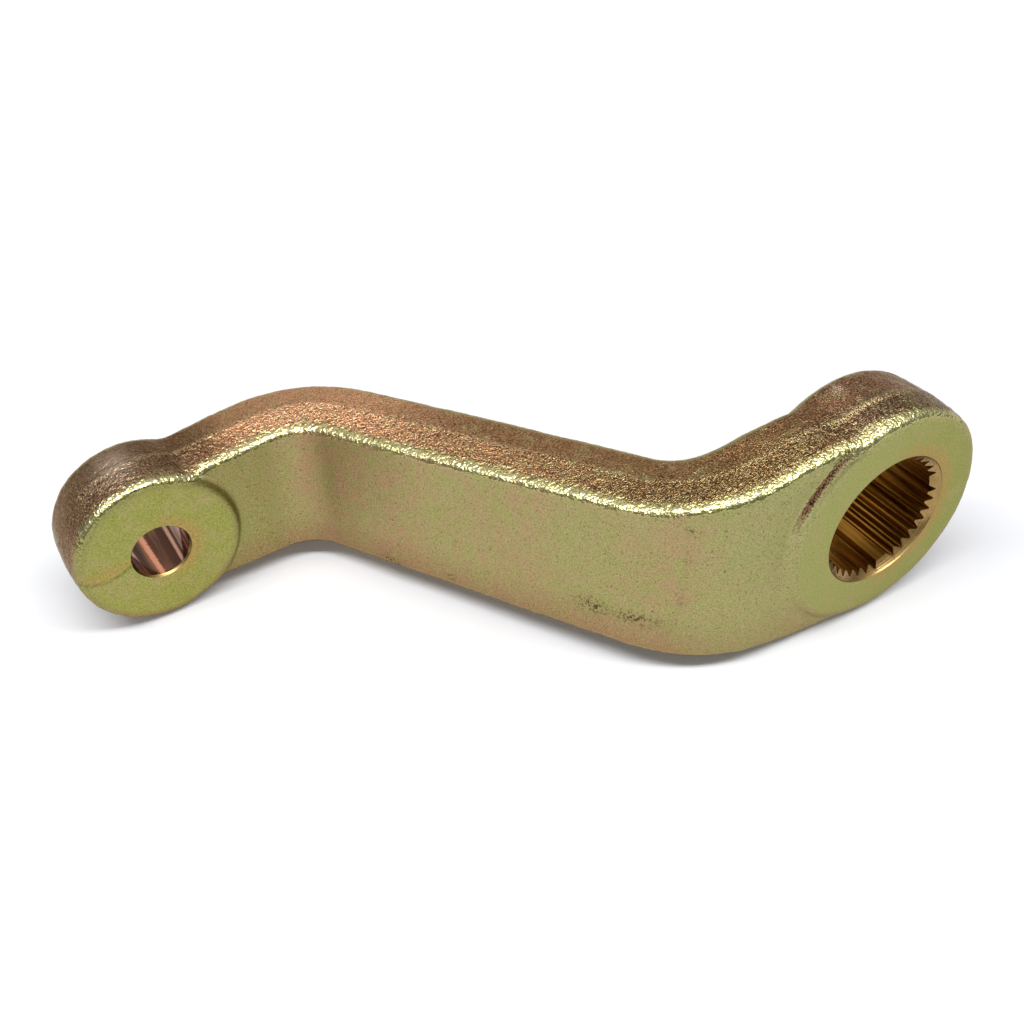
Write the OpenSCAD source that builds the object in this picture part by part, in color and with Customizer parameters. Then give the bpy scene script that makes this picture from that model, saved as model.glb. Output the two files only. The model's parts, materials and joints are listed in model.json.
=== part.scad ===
// Drop pitman arm: one steel forging bent to a Z, with a splined bore for the
// steering box shaft at one end and a tapered hole for a ball stud at the other.
// Millimetres. Origin: centre of the splined bore on the machined front face.
// X runs from the ball stud end to the shaft end, +Y points into both bores from
// their front faces, Z is up with the arm lying on its edge.

/* [Layout] */
// Distance between the two bores, seen along their axes
centre_distance = 139; // [130:1:150]
// How far the stud end's front face stands behind the shaft end's
drop = 90; // [80:1:100]
// Lean of the middle run, in degrees from the boss faces
run_lean = 60; // [54:1:64]
// Straight run from the tapered hole to the first bend
stud_run = 29.5; // [25:0.5:34]
// Bend radius next to the stud end, on the middle of the thickness
stud_bend_radius = 22.5; // [18:0.5:28]
// Bend radius next to the shaft end, on the middle of the thickness
shaft_bend_radius = 25.5; // [20:0.5:30]
// Angle between the stud end's forged face and its machined face
stud_end_tilt = 2.5; // [0:0.5:4]
// Angle between the shaft end's forged face and its machined face
shaft_end_tilt = 4.5; // [2:0.5:6]

/* [Arm section] */
// Width where the arm leaves the stud boss
neck_width = 34.8; // [30:0.2:37]
// Width where the arm starts to flare into the shaft boss
flare_start_width = 42.6; // [38:0.2:48]
// Length of the flare, measured back from the shaft bore
flare_length = 58; // [50:1:70]
// Thickness at both ends
end_thickness = 18.2; // [16:0.2:19]
// Thickness half way along
middle_thickness = 20.2; // [18:0.2:24]
// Draft of the narrow sides, from the parting line to each face
draft_angle = 6; // [3:0.5:8]
// Radius of the four long edges
edge_radius = 3; // [2:0.25:4]

/* [Stud boss] */
// Radius at the parting line
stud_boss_radius = 20.3; // [19:0.1:23]
// Length between its machined faces
stud_boss_length = 20; // [19.5:0.5:24]
// Depth of its parting line behind the front face
stud_parting_depth = 10; // [9.8:0.1:10.4]
// Rounding of its front rim
stud_front_rim = 1.2; // [0.6:0.1:2]
// Rounding of its back rim
stud_back_rim = 2.5; // [1.5:0.1:3]
// Hole radius at the front face, the small end of the taper
stud_hole_radius = 6.9; // [6:0.1:8]
// Growth of the hole's diameter for each millimetre of depth
stud_hole_taper = 0.125; // [0.1:0.005:0.167]
// Edge break at both mouths of the tapered hole
stud_hole_break = 0.5; // [0.2:0.1:0.8]

/* [Shaft boss] */
// Radius at the parting line
shaft_boss_radius = 28.3; // [27:0.1:32]
// Length between its machined faces
shaft_boss_length = 22; // [21:0.5:28]
// Depth of its parting line behind the front face
shaft_parting_depth = 9.4; // [9.4:0.1:10.4]
// Rounding of its front rim
shaft_front_rim = 2.5; // [1.5:0.1:3]
// Rounding of its back rim
shaft_back_rim = 3.5; // [2:0.1:4]

/* [Both bosses] */
// Draft of both bosses
boss_draft = 4; // [2:0.5:5]
// Width of the plain band left by trimming the flash
trim_land = 4; // [2:0.5:6]

/* [Splined bore] */
// Places round the bore, a groove in each but the blind ones
spline_places = 36; // [36]
// Blind places, evenly spaced, which make the arm fit one of four ways
blind_places = 4; // [4]
// Radius at the groove bottoms, half way through
groove_radius = 15.9; // [15.5:0.05:16]
// Radius at the tooth tips, half way through
tip_radius = 14.7; // [14.3:0.05:14.9]
// Groove width at the tooth tips, as a part of the pitch
groove_share = 0.82; // [0.7:0.02:0.88]
// Flat at the groove bottom, as a part of the pitch
root_share = 0.14; // [0.08:0.02:0.2]
// Growth of the bore's diameter towards the front, for each millimetre
spline_taper = 0.0625; // [0.03:0.0025:0.07]
// Turn of the first blind place from +X towards +Z
blind_turn = 14; // [0:1:89]
// Radius of the chamfer at both mouths
mouth_radius = 17; // [16.8:0.1:18]
// Depth of the steep outer chamfer
mouth_chamfer = 0.7; // [0.4:0.1:0.9]
// Depth of the shallow lead-in, just inside the tooth tips
lead_in_depth = 1.5; // [1.2:0.1:2]

/* [Hidden] */
$fn = 96;
plating = [0.56, 0.53, 0.32];
// Steps along the bends, round the corners and rims, and along the straight runs
bend_steps = 14;
corner_steps = 5;
rim_steps = 6;
run_steps = 6;
// Overlap of cuts past a face
over = 1;
// How far the flare ends inside the boss
flare_inset = 0.7;

// Both bosses stand on the same floor
stud_z = stud_boss_radius - shaft_boss_radius;
stud_x = -sqrt(centre_distance * centre_distance - stud_z * stud_z);
stud_mid = [stud_x, drop + stud_parting_depth];
shaft_mid = [0, shaft_parting_depth];

// Headings of the three runs
head_stud = stud_end_tilt;
head_run = -run_lean;
head_shaft = -shaft_end_tilt;
function ahead(a) = [cos(a), sin(a)];

// The two bends, and the two runs that are left to close the path
stud_turn = head_stud - head_run;
shaft_turn = head_shaft - head_run;
stud_bend = stud_bend_radius
    * [sin(head_stud) - sin(head_run), cos(head_run) - cos(head_stud)];
shaft_bend = shaft_bend_radius
    * [sin(head_shaft) - sin(head_run), cos(head_run) - cos(head_shaft)];
open_part = shaft_mid - stud_mid - stud_run * ahead(head_stud) - stud_bend - shaft_bend;
cross = sin(head_shaft - head_run);
middle_run = (open_part[0] * sin(head_shaft) - open_part[1] * cos(head_shaft)) / cross;
shaft_run = (open_part[1] * cos(head_run) - open_part[0] * sin(head_run)) / cross;

// Distances along the path at the ends of each run
bend_1_start = stud_run;
bend_1_end = bend_1_start + stud_bend_radius * stud_turn * PI / 180;
bend_2_start = bend_1_end + middle_run;
bend_2_end = bend_2_start + shaft_bend_radius * shaft_turn * PI / 180;
path_length = bend_2_end + shaft_run;
corner_1 = stud_mid + stud_run * ahead(head_stud);
corner_2 = corner_1 + stud_bend + middle_run * ahead(head_run);

// Heading and place of the path at a distance from the stud bore
function heading(s) =
    s <= bend_1_start ? head_stud
    : s <= bend_1_end ? head_stud - (s - bend_1_start) / stud_bend_radius * 180 / PI
    : s <= bend_2_start ? head_run
    : s <= bend_2_end ? head_run + (s - bend_2_start) / shaft_bend_radius * 180 / PI
    : head_shaft;
function right_turn(r, from, to) = r * [sin(from) - sin(to), cos(to) - cos(from)];
function left_turn(r, from, to) = r * [sin(to) - sin(from), cos(from) - cos(to)];
function place(s) =
    s <= bend_1_start ? stud_mid + s * ahead(head_stud)
    : s <= bend_1_end ? corner_1 + right_turn(stud_bend_radius, head_stud, heading(s))
    : s <= bend_2_start ? corner_1 + stud_bend + (s - bend_1_end) * ahead(head_run)
    : s <= bend_2_end ? corner_2 + left_turn(shaft_bend_radius, head_run, heading(s))
    : shaft_mid - (path_length - s) * ahead(head_shaft);

// Half width, thickness and height of the section
flare_start = path_length - flare_length;
flare_end = path_length - shaft_run / 3;
flare_half = shaft_boss_radius - flare_inset;
function ease(t) = t <= 0 ? 0 : t >= 1 ? 1 : t * t * (3 - 2 * t);
function plain_half(s) = (neck_width + (flare_start_width - neck_width) * s / flare_start) / 2;
function flare(s) = ease((s - flare_start) / (flare_end - flare_start));
function half_width(s) = plain_half(s) + (flare_half - plain_half(s)) * flare(s);
function thickness(s) =
    end_thickness + (middle_thickness - end_thickness) * sin(180 * s / path_length);
function height(s) = stud_z * (1 - s / path_length);

// One rounded corner: front is +1 or -1, top is +1 or -1, steps run away from the parting line
function corner(s, front, top, i) =
    let (
        half = thickness(s) / 2,
        in = half - edge_radius,
        mid_w = half_width(s) - in * tan(draft_angle) - edge_radius / cos(draft_angle),
        a = draft_angle + (90 - draft_angle) * i / corner_steps
    )
    [front * (in + edge_radius * sin(a)), top * (mid_w + edge_radius * cos(a))];
function section(s) = concat(
    [[0, half_width(s)]],
    [for (i = [0:corner_steps]) corner(s, 1, 1, i)],
    [for (i = [corner_steps:-1:0]) corner(s, 1, -1, i)],
    [[0, -half_width(s)]],
    [for (i = [0:corner_steps]) corner(s, -1, -1, i)],
    [for (i = [corner_steps:-1:0]) corner(s, -1, 1, i)]
);
function ring(s) =
    let (p = place(s), a = heading(s), z = height(s))
    [for (q = section(s)) [p[0] + q[0] * sin(a), p[1] - q[0] * cos(a), z + q[1]]];

stations = concat(
    [0, bend_1_start / 2],
    [for (i = [0:bend_steps]) bend_1_start + (bend_1_end - bend_1_start) * i / bend_steps],
    [for (i = [1:run_steps - 1]) bend_1_end + middle_run * i / run_steps],
    [for (i = [0:bend_steps]) bend_2_start + (bend_2_end - bend_2_start) * i / bend_steps],
    [for (i = [1:run_steps]) bend_2_end + shaft_run * i / run_steps]
);

module bent_arm() {
    rings = [for (s = stations) ring(s)];
    across = len(rings[0]);
    along = len(rings);
    skin = [
        for (j = [0:along - 2])
        for (i = [0:across - 1])
        let (n = (i + 1) % across, low = j * across, high = low + across)
        each [[low + i, high + i, high + n], [low + i, high + n, low + n]]
    ];
    near_cap = [for (i = [0:across - 1]) i];
    far_cap = [for (i = [across - 1:-1:0]) (along - 1) * across + i];
    polyhedron([for (r = rings) each r], concat(skin, [near_cap, far_cap]), convexity = 6);
}

// Turned outline of a boss: a land at the parting line, draft both ways, rounded rims
module boss(radius, length, parting, front_rim, rear_rim) {
    front_r = radius - (parting - trim_land / 2) * tan(boss_draft);
    rear_r = radius - (length - parting - trim_land / 2) * tan(boss_draft);
    outline = concat(
        [[0, 0]],
        [for (i = [0:rim_steps]) let (a = 90 - 90 * i / rim_steps)
            [front_r - front_rim + front_rim * cos(a), front_rim - front_rim * sin(a)]],
        [[radius, parting - trim_land / 2], [radius, parting + trim_land / 2]],
        [for (i = [0:rim_steps]) let (a = 90 * i / rim_steps)
            [rear_r - rear_rim + rear_rim * cos(a), length - rear_rim + rear_rim * sin(a)]],
        [[0, length]]
    );
    rotate([-90, 0, 0])
    rotate_extrude()
    polygon(outline);
}

// Outline of the splined bore at the tooth tip radius given
pitch = 360 / spline_places;
function is_blind(i) = i % (spline_places / blind_places) == 0;
function on_bore(r, a) = [r * cos(a), r * sin(a)];
function place_points(i, r) =
    let (
        a = i * pitch + blind_turn,
        w = pitch * groove_share / 2,
        f = pitch * root_share / 2,
        deep = r + groove_radius - tip_radius
    )
    is_blind(i)
    ? [on_bore(r, a - w), on_bore(r, a), on_bore(r, a + w)]
    : [on_bore(r, a - w), on_bore(deep, a - f), on_bore(deep, a + f), on_bore(r, a + w)];

module splined_bore() {
    long = shaft_boss_length + 2 * over;
    grow = spline_taper * long / 4;
    front_tip = tip_radius + grow;
    rear_tip = tip_radius - grow;
    // The bore, narrowing from the front face to the back
    translate([0, -over, 0])
    rotate([-90, 0, 0])
    linear_extrude(height = long, scale = rear_tip / front_tip)
    mirror([0, 1])
    polygon([for (i = [0:spline_places - 1]) each place_points(i, front_tip)]);
    mouth();
    translate([0, shaft_boss_length, 0])
    mirror([0, 1, 0])
    mouth();
}

// Steep outer chamfer, then a shallow lead-in to the tooth tips
module mouth() {
    steep_r = mouth_radius - mouth_chamfer;
    rotate([-90, 0, 0])
    rotate_extrude()
    polygon([
        [0, -over],
        [mouth_radius + over, -over],
        [steep_r, mouth_chamfer],
        [tip_radius - over, lead_in_depth],
        [0, lead_in_depth]
    ]);
}

// Tapered hole with a small edge break at both mouths
module tapered_hole() {
    side = stud_hole_taper / 2;
    far_r = stud_hole_radius + stud_boss_length * side;
    rotate([-90, 0, 0])
    rotate_extrude()
    polygon([
        [0, -over],
        [stud_hole_radius + stud_hole_break + over, -over],
        [stud_hole_radius + stud_hole_break * side, stud_hole_break],
        [far_r - stud_hole_break * side, stud_boss_length - stud_hole_break],
        [far_r + stud_hole_break + over, stud_boss_length + over],
        [0, stud_boss_length + over]
    ]);
}

module pitman_arm() {
    color(plating)
    difference() {
        union() {
            bent_arm();
            translate([stud_x, drop, stud_z])
            boss(stud_boss_radius, stud_boss_length, stud_parting_depth, stud_front_rim, stud_back_rim);
            boss(shaft_boss_radius, shaft_boss_length, shaft_parting_depth, shaft_front_rim, shaft_back_rim);
        }
        splined_bore();
        translate([stud_x, drop, stud_z])
        tapered_hole();
    }
}

pitman_arm();
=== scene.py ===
import json
import math

import bmesh
import bpy
import numpy as np
from mathutils import Matrix, Vector

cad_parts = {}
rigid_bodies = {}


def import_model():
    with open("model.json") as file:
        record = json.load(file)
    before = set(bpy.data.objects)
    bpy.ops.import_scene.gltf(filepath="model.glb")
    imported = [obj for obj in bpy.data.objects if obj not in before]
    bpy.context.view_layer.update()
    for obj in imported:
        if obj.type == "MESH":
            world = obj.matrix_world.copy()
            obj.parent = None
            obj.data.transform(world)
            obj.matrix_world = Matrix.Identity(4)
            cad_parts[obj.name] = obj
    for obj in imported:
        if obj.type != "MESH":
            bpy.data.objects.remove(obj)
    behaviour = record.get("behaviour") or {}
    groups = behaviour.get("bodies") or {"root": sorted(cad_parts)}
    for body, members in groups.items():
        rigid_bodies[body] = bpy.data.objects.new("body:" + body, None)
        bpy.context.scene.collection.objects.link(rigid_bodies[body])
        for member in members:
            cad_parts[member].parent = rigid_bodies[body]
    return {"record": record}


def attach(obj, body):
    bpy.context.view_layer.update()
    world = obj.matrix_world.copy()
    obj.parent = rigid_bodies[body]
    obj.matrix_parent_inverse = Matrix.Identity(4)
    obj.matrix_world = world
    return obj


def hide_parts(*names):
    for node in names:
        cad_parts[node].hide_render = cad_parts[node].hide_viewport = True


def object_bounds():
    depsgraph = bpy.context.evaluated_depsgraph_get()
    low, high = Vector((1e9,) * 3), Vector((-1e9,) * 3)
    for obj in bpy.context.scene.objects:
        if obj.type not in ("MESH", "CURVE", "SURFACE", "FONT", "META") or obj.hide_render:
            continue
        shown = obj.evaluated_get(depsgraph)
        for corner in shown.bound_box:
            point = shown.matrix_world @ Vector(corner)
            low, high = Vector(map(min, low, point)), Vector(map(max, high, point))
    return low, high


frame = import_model()
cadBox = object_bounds()
print("frame loaded")

mm = 0.001
hair = 1e-6  # how near, in metres, counts as the same place
endOn = 0.95  # least part of an end face's normal along its axis
roundSides = 128  # sides of a turned shape
mounts = {m["name"]: Vector(m["pos_m"]) / mm for m in frame["record"]["mounts"]}
floorZ = cadBox[0].z

# The forging before machining, in mm and degrees: a bar with a drafted section, bent to a Z
forging = {
    "runLean": 60, "studTilt": 2.5, "shaftTilt": 4.5,
    "studRun": 29.5, "studBend": 22.5, "shaftBend": 25.5,
    "neckWidth": 34.8, "flareWidth": 42.6, "flareLength": 58, "bossInset": 0.7,
    "endThickness": 18.2, "middleThickness": 20.2,
    "crest": 1.0, "edge": 1.9, "edgeSegments": 5, "rimSegments": 6, "stations": 62, "pathSteps": 370,
    "voxel": 0.62, "softening": 4, "neckSoftening": 34, "smoothing": 0.5,
    "creaseAngle": 45,
}

studBoss = {
    "centre": mounts["stud_taper"], "front": mounts["stud_nut_face"].y, "back": mounts["stud_taper"].y,
    "radius": 20.3, "parting": 10, "land": 4, "draft": 4, "frontRim": 1.9, "backRim": 2.8, "allowance": 0.3,
    "roundness": 0.8, "mouth": 8.2, "flash": 0,
}

shaftBoss = {
    "centre": mounts["shaft_spline"], "front": mounts["shaft_spline"].y, "back": mounts["shaft_nut_face"].y,
    "radius": 28.3, "parting": 9.4, "land": 4, "draft": 4, "frontRim": 2.3, "backRim": 3.8, "allowance": 0.3,
    "roundness": 0.1, "mouth": 18, "flash": 1,
}


def deselect():
    if bpy.context.mode != "OBJECT":
        bpy.ops.object.mode_set(mode="OBJECT")
    bpy.ops.object.select_all(action="DESELECT")


def pick(test, kind="VERT"):
    # selects what passes the test in the mesh that is being edited
    bpy.ops.mesh.select_mode(type=kind)
    bpy.ops.mesh.select_all(action="DESELECT")
    mesh = bmesh.from_edit_mesh(bpy.context.object.data)
    parts = {"VERT": mesh.verts, "EDGE": mesh.edges, "FACE": mesh.faces}[kind]
    for part in parts:
        if test(part):
            part.select_set(True)
    mesh.select_flush_mode()
    bmesh.update_edit_mesh(bpy.context.object.data)


def settle(name):
    # back to object mode, with the place in the mesh
    bpy.ops.object.mode_set(mode="OBJECT")
    bpy.ops.object.transform_apply(location=True, rotation=True, scale=True)
    made = bpy.context.object
    made.name = name
    made.data.name = name
    return made


def use(obj, kind, **settings):
    # adds a modifier and applies it
    deselect()
    obj.select_set(True)
    bpy.context.view_layer.objects.active = obj
    tool = obj.modifiers.new(kind.lower(), kind)
    for key, value in settings.items():
        setattr(tool, key, value)
    bpy.ops.object.modifier_apply(modifier=tool.name)


# Path of the forging: three straight runs joined by two bends, on the middle of the thickness
def ahead(degrees):
    return np.array([math.cos(math.radians(degrees)), math.sin(math.radians(degrees))])


def bend(radius, before, after):
    side = ahead(after)[::-1] - ahead(before)[::-1]
    return math.copysign(radius, after - before) * side * np.array([1, -1])


studHead, runHead, shaftHead = forging["studTilt"], -forging["runLean"], -forging["shaftTilt"]
studMid = np.array([studBoss["centre"].x, studBoss["front"] + studBoss["parting"]])
shaftMid = np.array([shaftBoss["centre"].x, shaftBoss["front"] + shaftBoss["parting"]])
bends = bend(forging["studBend"], studHead, runHead) + bend(forging["shaftBend"], runHead, shaftHead)
openPart = shaftMid - studMid - forging["studRun"] * ahead(studHead) - bends
middleRun, shaftRun = np.linalg.solve(np.column_stack([ahead(runHead), ahead(shaftHead)]), openPart)
runLengths = [
    forging["studRun"], forging["studBend"] * math.radians(studHead - runHead), middleRun,
    forging["shaftBend"] * math.radians(shaftHead - runHead), shaftRun,
]
pathLength = sum(runLengths)
pathRise = shaftBoss["centre"].z - studBoss["centre"].z
# the path walked in short steps: distance, heading and place
walked = np.linspace(0, pathLength, forging["pathSteps"] + 1)
walkedHeading = np.radians(np.interp(
    walked, np.cumsum([0, *runLengths]), [studHead, studHead, runHead, runHead, shaftHead, shaftHead]))
walkedAhead = np.column_stack([np.cos(walkedHeading), np.sin(walkedHeading)])
walkedStep = (walkedAhead[1:] + walkedAhead[:-1]) / 2 * (pathLength / forging["pathSteps"])
walkedPlace = studMid + np.vstack([[0, 0], np.cumsum(walkedStep, axis=0)])


def makePath():
    data = bpy.data.curves.new("forgingPath", "CURVE")
    data.dimensions = "2D"
    spline = data.splines.new("POLY")
    spline.points.add(len(walked) - 1)
    for point, place in zip(spline.points, walkedPlace):
        point.co = (*(place * mm), 0, 1)
    path = bpy.data.objects.new("forgingPath", data)
    bpy.context.collection.objects.link(path)
    return path


# Section of the bar at a distance along the path
def cornerHalf(s):
    flareStart = pathLength - forging["flareLength"]
    flareEnd = pathLength - shaftRun / 3  # a third of the last run before the shaft's axis
    plain = (forging["neckWidth"] + (forging["flareWidth"] - forging["neckWidth"]) * s / flareStart) / 2
    t = min(max((s - flareStart) / (flareEnd - flareStart), 0), 1)
    wide = shaftBoss["radius"] - forging["bossInset"]
    return plain + (wide - plain) * t * t * (3 - 2 * t) - forging["crest"]


def thickness(s):
    swell = math.sin(math.pi * s / pathLength)
    return forging["endThickness"] + (forging["middleThickness"] - forging["endThickness"]) * swell


def midHeight(s):
    return studBoss["centre"].z + pathRise * s / pathLength


def makeBar(path):
    # straight first: one slice, then extruded station by station and resized to the section
    gap = pathLength / forging["stations"]
    deselect()
    bpy.ops.mesh.primitive_cube_add(size=1, location=(gap / 2 * mm, 0, midHeight(0) * mm))
    bpy.context.object.scale = (gap * mm, thickness(0) * mm, 2 * cornerHalf(0) * mm)
    bar = settle("forgedBar")
    bpy.ops.object.mode_set(mode="EDIT")
    pick(lambda face: face.normal.x > endOn, "FACE")
    for i in range(1, forging["stations"]):
        before, after = i * gap, (i + 1) * gap
        rise = midHeight(after) - midHeight(before)
        bpy.ops.mesh.extrude_region_move(TRANSFORM_OT_translate={"value": (gap * mm, 0, rise * mm)})
        size = (1, thickness(after) / thickness(before), cornerHalf(after) / cornerHalf(before))
        bpy.ops.transform.resize(value=size, center_override=(after * mm, 0, midHeight(after) * mm))
    # the parting line stands out as a low crest on both narrow sides
    bpy.ops.mesh.select_all(action="SELECT")
    bpy.ops.mesh.bisect(plane_co=(0, 0, 0), plane_no=(0, 1, 0))
    for side in (1, -1):
        pick(lambda v: abs(v.co.y) < hair and (v.co.z - midHeight(v.co.x / mm) * mm) * side > 0)
        bpy.ops.transform.translate(value=(0, 0, side * forging["crest"] * mm))
    # the four long edges are rounded
    outer = forging["endThickness"] / 2 * mm - hair
    pick(lambda e: abs(e.verts[0].co.x - e.verts[1].co.x) > gap * mm / 2
         and abs(e.verts[0].co.y) > outer and abs(e.verts[1].co.y) > outer
         and e.verts[0].co.y * e.verts[1].co.y > 0, "EDGE")
    bpy.ops.mesh.bevel(offset=forging["edge"] * mm, segments=forging["edgeSegments"], affect="EDGES")
    bar = settle("forgedBar")
    use(bar, "CURVE", object=path)
    return bar


def makeBoss(name, boss):
    front = boss["front"]
    back = boss["back"] + boss["allowance"]
    partings = [boss["front"] + boss["parting"] + side * boss["land"] / 2 for side in (-1, 1)]
    middle = Vector((boss["centre"].x, (front + back) / 2, boss["centre"].z)) * mm
    deselect()
    bpy.ops.mesh.primitive_cylinder_add(
        vertices=roundSides, radius=boss["radius"] * mm, depth=(back - front) * mm,
        location=middle, rotation=(math.pi / 2, 0, 0))
    settle(name)
    bpy.ops.object.mode_set(mode="EDIT")
    for y in partings:
        bpy.ops.mesh.select_all(action="SELECT")
        bpy.ops.mesh.bisect(plane_co=(0, y * mm, 0), plane_no=(0, 1, 0))
    ends = [(front, partings[0] - front, boss["frontRim"]), (back, back - partings[1], boss["backRim"])]
    for y, length, rim in ends:
        # draft towards the end, then its rounded rim
        share = 1 - length * math.tan(math.radians(boss["draft"])) / boss["radius"]
        pick(lambda v: abs(v.co.y - y * mm) < hair)
        bpy.ops.transform.resize(value=(share, 1, share), center_override=(middle.x, y * mm, middle.z))
        pick(lambda e: all(abs(v.co.y - y * mm) < hair for v in e.verts), "EDGE")
        bpy.ops.mesh.bevel(offset=rim * mm, segments=forging["rimSegments"], affect="EDGES")
    return settle(name)


# Machining in mm: facing cutters, the reamer of the tapered hole and the broach of the splined bore
splines = {
    "places": 36, "blind": 4, "turn": 14, "groove": 15.9, "tip": 14.7, "taper": 0.0625,
    "grooveShare": 0.82, "rootShare": 0.14, "over": 1,
    "mouth": 17, "rim": 0.6, "rimSlope": 2.4, "mouthSlope": 0.75, "runOut": 1,
}

studHole = {"radius": 6.9, "taper": 0.125, "lip": 0.4, "lipSlope": 1.5, "over": 1}

facing = {"over": 1, "depth": 6}


def turnedCutter(name, centre, outline):
    # a turned shape along +Y: rings of radius at a depth, one after the other
    first, second = outline[0], outline[1]
    length = (second[1] - first[1]) * mm
    start = Vector(centre) * mm
    deselect()
    bpy.ops.mesh.primitive_cone_add(
        vertices=roundSides, radius1=second[0] * mm, radius2=first[0] * mm, depth=length,
        location=start + Vector((0, first[1] * mm + length / 2, 0)), rotation=(math.pi / 2, 0, 0))
    settle(name)
    bpy.ops.object.mode_set(mode="EDIT")
    pick(lambda face: face.normal.y > endOn, "FACE")
    for before, after in zip(outline[1:], outline[2:]):
        bpy.ops.mesh.extrude_region_move(
            TRANSFORM_OT_translate={"value": (0, (after[1] - before[1]) * mm, 0)})
        share = after[0] / before[0]
        bpy.ops.transform.resize(
            value=(share, 1, share), center_override=start + Vector((0, after[1] * mm, 0)))
    return settle(name)


def makeFacing(name, boss):
    reach = boss["radius"] + facing["over"]
    centre = (boss["centre"].x, boss["back"], boss["centre"].z)
    return turnedCutter(name, centre, [(reach, 0), (reach, facing["depth"])])


def makeReamer():
    length = studBoss["back"] - studBoss["front"]
    over, side = studHole["over"], studHole["taper"] / 2
    return turnedCutter("reamer", (studBoss["centre"].x, studBoss["front"], studBoss["centre"].z), [
        (studHole["radius"] - over * side, -over),
        (studHole["radius"] + (length + over) * side, length + over),
    ])


def makeLip(name, front):
    # breaks the sharp edge of the stud hole at one face
    lip, slope, over = studHole["lip"], studHole["lipSlope"], studHole["over"]
    steps = [(lip + over / slope, -over), (-over, (lip + over) * slope)]
    y, edge = studBoss["front"], studHole["radius"]
    if not front:
        steps = [(out, -depth) for out, depth in reversed(steps)]
        edge += (studBoss["back"] - y) * studHole["taper"] / 2
        y = studBoss["back"]
    outline = [(edge + out, depth) for out, depth in steps]
    return turnedCutter(name, (studBoss["centre"].x, y, studBoss["centre"].z), outline)


def makeMouth(name, front):
    # a steep rim, then a cone that runs out inside the teeth, so each tooth ends in a long point
    over, rim, inner = splines["over"], splines["rim"], splines["tip"] - splines["runOut"]
    rimEnd = splines["mouth"] - rim / splines["rimSlope"]
    outline = [
        (splines["mouth"] + over / splines["rimSlope"], -over), (rimEnd, rim),
        (inner, rim + (rimEnd - inner) * splines["mouthSlope"])]
    if not front:
        depth = shaftBoss["back"] - shaftBoss["front"]
        outline = [(radius, depth - y) for radius, y in reversed(outline)]
    return turnedCutter(name, shaftBoss["centre"], outline)


def makeBroach():
    # four points a place: both tooth edges and the groove's flat bottom
    length = shaftBoss["back"] - shaftBoss["front"] + 2 * splines["over"]
    # the taper is on the diameter, and the sizes hold half way through
    grow = splines["taper"] * length / 4
    tip = splines["tip"] + grow
    groove = splines["groove"] + grow
    pitch = 360 / splines["places"]
    offsets = [
        -splines["grooveShare"] / 2, -splines["rootShare"] / 2,
        splines["rootShare"] / 2, splines["grooveShare"] / 2,
    ]
    deselect()
    bpy.ops.mesh.primitive_circle_add(vertices=4 * splines["places"], radius=tip * mm, fill_type="NGON")
    made = settle("broach")
    for i, v in enumerate(made.data.vertices):
        place, corner = divmod(i, 4)
        blind = place % (splines["places"] // splines["blind"]) == 0
        root = corner in (1, 2) and not blind
        angle = math.radians(splines["turn"] + (place + offsets[corner]) * pitch)
        radius = groove if root else tip
        v.co = Vector((radius * math.cos(angle), -splines["over"], radius * math.sin(angle))) * mm
    bpy.ops.object.mode_set(mode="EDIT")
    bpy.ops.mesh.select_all(action="SELECT")
    bpy.ops.mesh.extrude_region_move(TRANSFORM_OT_translate={"value": (0, length * mm, 0)})
    share = (splines["tip"] - grow) / tip
    bpy.ops.transform.resize(
        value=(share, 1, share), center_override=(0, (length - splines["over"]) * mm, 0))
    bpy.ops.mesh.select_all(action="SELECT")
    bpy.ops.mesh.normals_make_consistent(inside=False)
    return settle("broach")


# Marks of the forging in mm. Pits: place along the path, height over its middle, reach both ways, strength.
# Run of plating: an arc on the stud disc, beside the hole. Pale spots, first a painted highlight on the stud
# boss's barrel
# and then wear on the shaft boss: place and reach in X and Y, strength.
# Painted highlight streaks in the stud hole: degrees round it, width, strength.
marks = {
    "pits": [(123.4, -10.2, 3.8, 2.2, 0.95), (132.8, -10.8, 4, 1.9, 0.85), (69.8, -16.8, 2.4, 1.2, 1),
             (86.9, -15.7, 1.2, 0.9, 0.9), (140.4, 16.9, 0.9, 1.0, 0.7), (140.2, 9, 0.5, 3.5, 0.35),
             (139.6, -3.5, 0.6, 3.5, 0.35)],
    "pitDepth": 0.5, "pitSize": 0.9,
    "runFrom": -20.5, "runTo": -7.2, "runLowX": -13.6, "runLowZ": -2.6, "runCurve": 0.052, "runWidth": 0.3,
    "runDepth": 0.25, "dripTop": 1.3, "dripShare": 0.7,
    "wearAndSheen": [(-142, 101.5, 4.4, 5.4, 1), (-3.9, 17.3, 1.2, 1.6, 1)],
    "boreHighlights": [(-97, 8, 0.6), (-50, 4, 1)],
    "flashWidth": 0.7, "flashHeight": 0.3, "flashOnBar": 0.4,
    "waveSize": 17, "waveHeight": 0.35, "rippleSize": 6, "rippleHeight": 0.3,
    "grainSize": 1.4, "grainHeight": 0.28,
    "crownWidth": 5, "neckGap": 1, "neckWidth": 5, "neckCrisp": 0.95, "softEdge": 0.7, "roundingGrain": 0.7,
    "mouthWidth": 1.9, "wallGrain": 1.2,
}

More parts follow.
